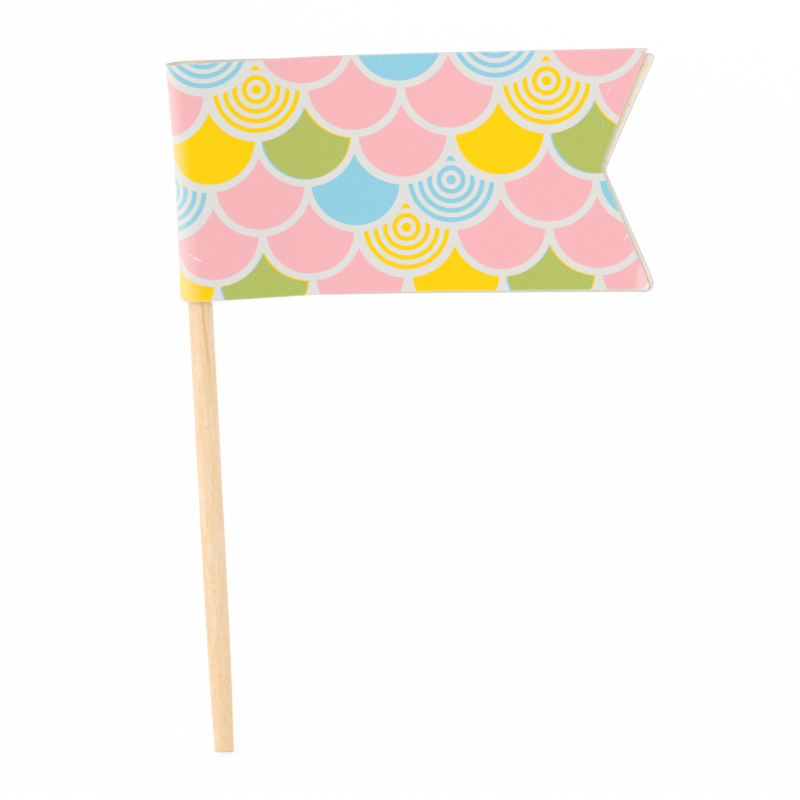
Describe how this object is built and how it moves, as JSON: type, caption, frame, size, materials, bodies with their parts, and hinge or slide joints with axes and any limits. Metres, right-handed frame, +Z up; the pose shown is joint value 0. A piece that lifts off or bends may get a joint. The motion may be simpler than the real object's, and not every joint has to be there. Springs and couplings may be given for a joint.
{
  "type": "flag pick",
  "caption": "Party flag pick: a slim birch stick, drawn in at its lower end, with a printed paper sheet folded round its upper end and cut to a swallowtail flag.",
  "frame": {"origin": "where the stick's axis meets its cut lower end", "axes": "+Z up along the stick, +X from the stick to the flag's fly, -Y the way the front leaf faces"},
  "size_m": [0.0495, 0.003, 0.0759],
  "materials": {
    "birch": "bare sanded birch with a fine straight grain",
    "printed_paper": "uncoated matte paper with a coloured print on its outer face",
    "adhesive": "cream pressure-sensitive adhesive film"
  },
  "bodies": {
    "root": {"stick": "birch", "flag_sheet": "printed_paper", "adhesive_coat": "adhesive"}
  },
  "joints": []
}
